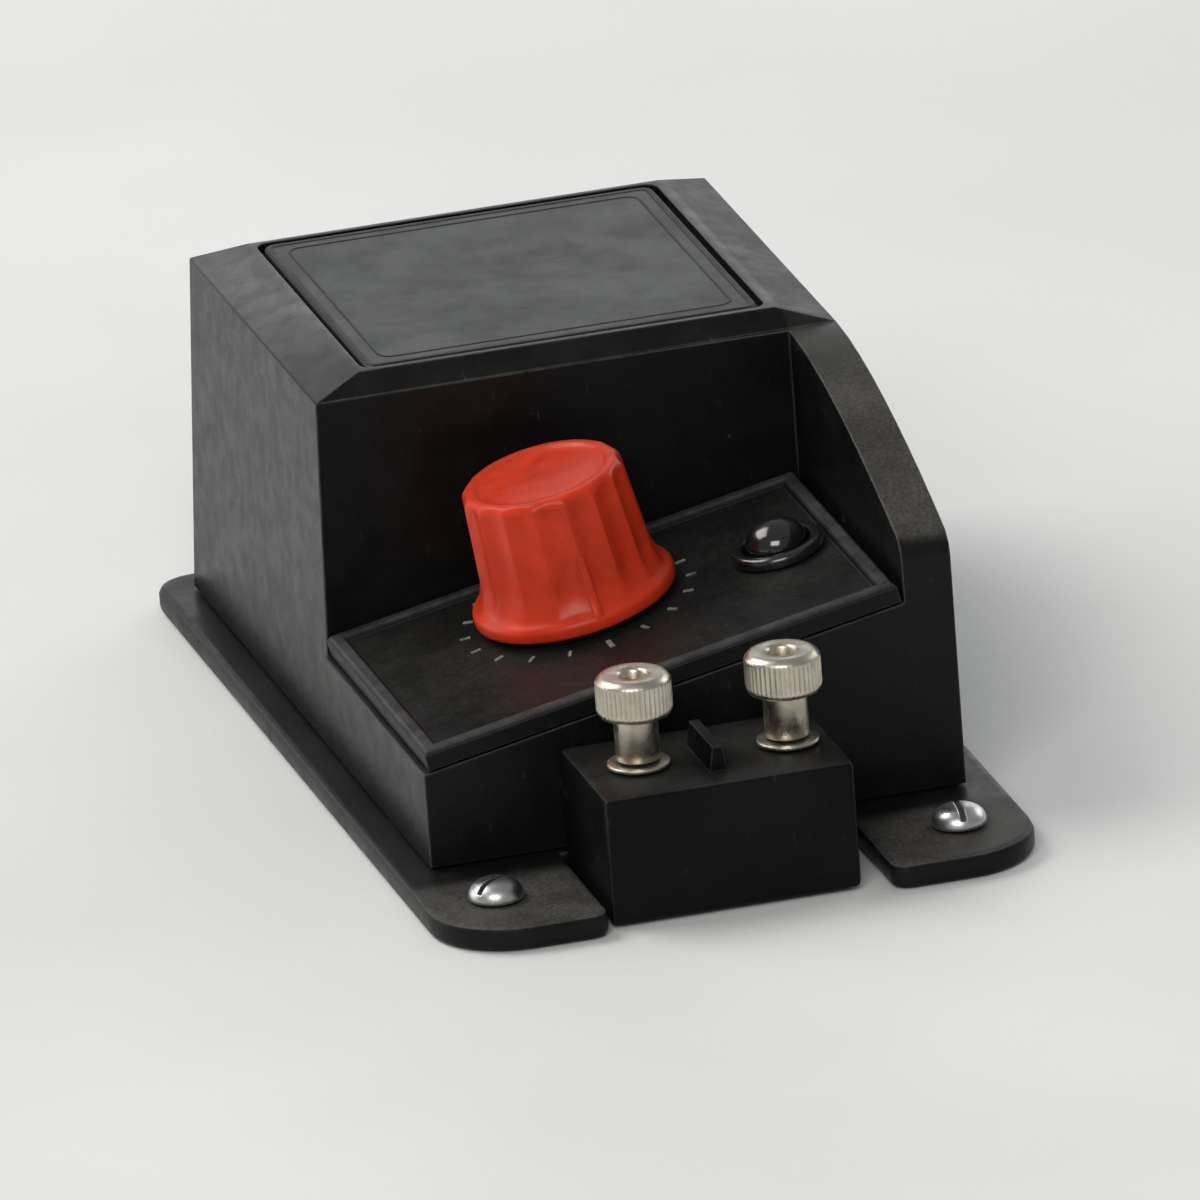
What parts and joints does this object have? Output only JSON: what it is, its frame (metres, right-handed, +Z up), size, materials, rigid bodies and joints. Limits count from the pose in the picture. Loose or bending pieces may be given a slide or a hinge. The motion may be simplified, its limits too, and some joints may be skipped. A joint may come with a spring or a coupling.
{
  "type": "train set controller",
  "caption": "Low-voltage model railway speed controller: sloping panel with a red turning knob and reset button, tall transformer box, screw-down output terminals and two fixing tabs.",
  "frame": {"origin": "centre of the base plate's underside, on the surface the controller stands on", "axes": "+Y from the terminals towards the back wall, +Z up, +X to the right towards the cheek"},
  "size_m": [0.073, 0.137, 0.0485],
  "materials": {
    "black_shell": "satin",
    "black_base": "satin",
    "black_panel": "fine texture",
    "black_block": "satin",
    "black_gloss": "gloss",
    "label_grey": "printed matte",
    "knob_red": "satin",
    "nickel": "bright",
    "zinc": "zinc plated",
    "brass": "turned",
    "steel_core": "laminated",
    "copper": "enamelled wire",
    "resistance_wire": "wound wire",
    "bobbin_nylon": "matte",
    "tape_yellow": "film tape",
    "paxolin": "laminate",
    "ceramic": "unglazed",
    "carbon": "matte",
    "capacitor_blue": "sleeved",
    "rubber": "matte",
    "lead_red": "sleeving",
    "lead_black": "sleeving"
  },
  "bodies": {
    "case": {"base_plate": "black_base", "housing": "black_shell", "control_panel": "black_panel", "label_plate": "label_grey", "cord_grommet": "rubber", "terminal_block": "black_block", "rheostat_bush": "brass", "rheostat_washer": "zinc", "rheostat_nut": "nickel", "rheostat_former": "ceramic", "resistance_winding": "resistance_wire", "rheostat_lug_forward": "nickel", "rheostat_lug_wiper": "nickel", "rheostat_lug_reverse": "nickel", "reset_collar": "black_gloss", "reset_spring": "nickel", "cutout_body": "paxolin", "cutout_cover": "paxolin", "bimetal_blade": "brass", "cutout_tag_line": "nickel", "cutout_tag_load": "nickel", "transformer_core": "steel_core", "transformer_bobbin": "bobbin_nylon", "primary_winding": "tape_yellow", "secondary_winding": "copper", "core_strap": "zinc", "strap_screw_left": "zinc", "strap_screw_right": "zinc", "circuit_board": "paxolin", "board_screw_left": "zinc", "board_screw_right": "zinc", "bridge_rectifier": "black_gloss", "suppressor_capacitor": "capacitor_blue", "output_lead_left": "lead_black", "output_lead_right": "lead_red", "block_screw": "zinc", "fixing_screw_left": "nickel", "fixing_screw_right": "nickel", "case_screw_front_left": "zinc", "case_screw_front_right": "zinc", "case_screw_rear_left": "zinc", "case_screw_rear_right": "zinc", "terminal_stud_left": "brass", "solder_tag_left": "nickel", "terminal_stud_right": "brass", "solder_tag_right": "nickel"},
    "speed_control": {"speed_knob": "knob_red", "knob_grub_screw": "zinc", "control_shaft": "brass", "wiper_hub": "bobbin_nylon", "wiper_arm": "brass", "wiper_brush": "carbon"},
    "reset_plunger": {"reset_button": "black_gloss", "reset_circlip": "zinc"},
    "clamp_left": {"terminal_washer_left": "nickel"},
    "thumb_nut_left": {"terminal_nut_left": "nickel"},
    "clamp_right": {"terminal_washer_right": "nickel"},
    "thumb_nut_right": {"terminal_nut_right": "nickel"}
  },
  "joints": [
    {"name": "speed_turn", "type": "hinge", "parent": "case", "child": "speed_control", "pos_m": [-0.0057, -0.0175, 0.02296], "axis": [-0.1961, 0, 0.9806], "range_deg": [-140, 140]},
    {"name": "reset_press", "type": "slide", "parent": "case", "child": "reset_plunger", "axis": [0.1961, 0, -0.9806], "range_m": [0, 0.002], "stiffness_N_per_m": 300, "springref_m": -0.002, "deforming": ["reset_spring"]},
    {"name": "terminal_left_lift", "type": "slide", "parent": "case", "child": "clamp_left", "axis": [0, 0, 1], "range_m": [0, 0.002]},
    {"name": "terminal_left_turn", "type": "hinge", "parent": "clamp_left", "child": "thumb_nut_left", "pos_m": [-0.0096, -0.057, 0.0171], "axis": [0, 0, 1], "range_deg": [0, 1440]},
    {"name": "terminal_right_lift", "type": "slide", "parent": "case", "child": "clamp_right", "axis": [0, 0, 1], "range_m": [0, 0.002]},
    {"name": "terminal_right_turn", "type": "hinge", "parent": "clamp_right", "child": "thumb_nut_right", "pos_m": [0.0084, -0.057, 0.0171], "axis": [0, 0, 1], "range_deg": [0, 1440]}
  ],
  "couplings": [
    {"joint": "terminal_left_turn", "follows": "terminal_left_lift", "rad_per_m": 12566},
    {"joint": "terminal_right_turn", "follows": "terminal_right_lift", "rad_per_m": 12566}
  ]
}
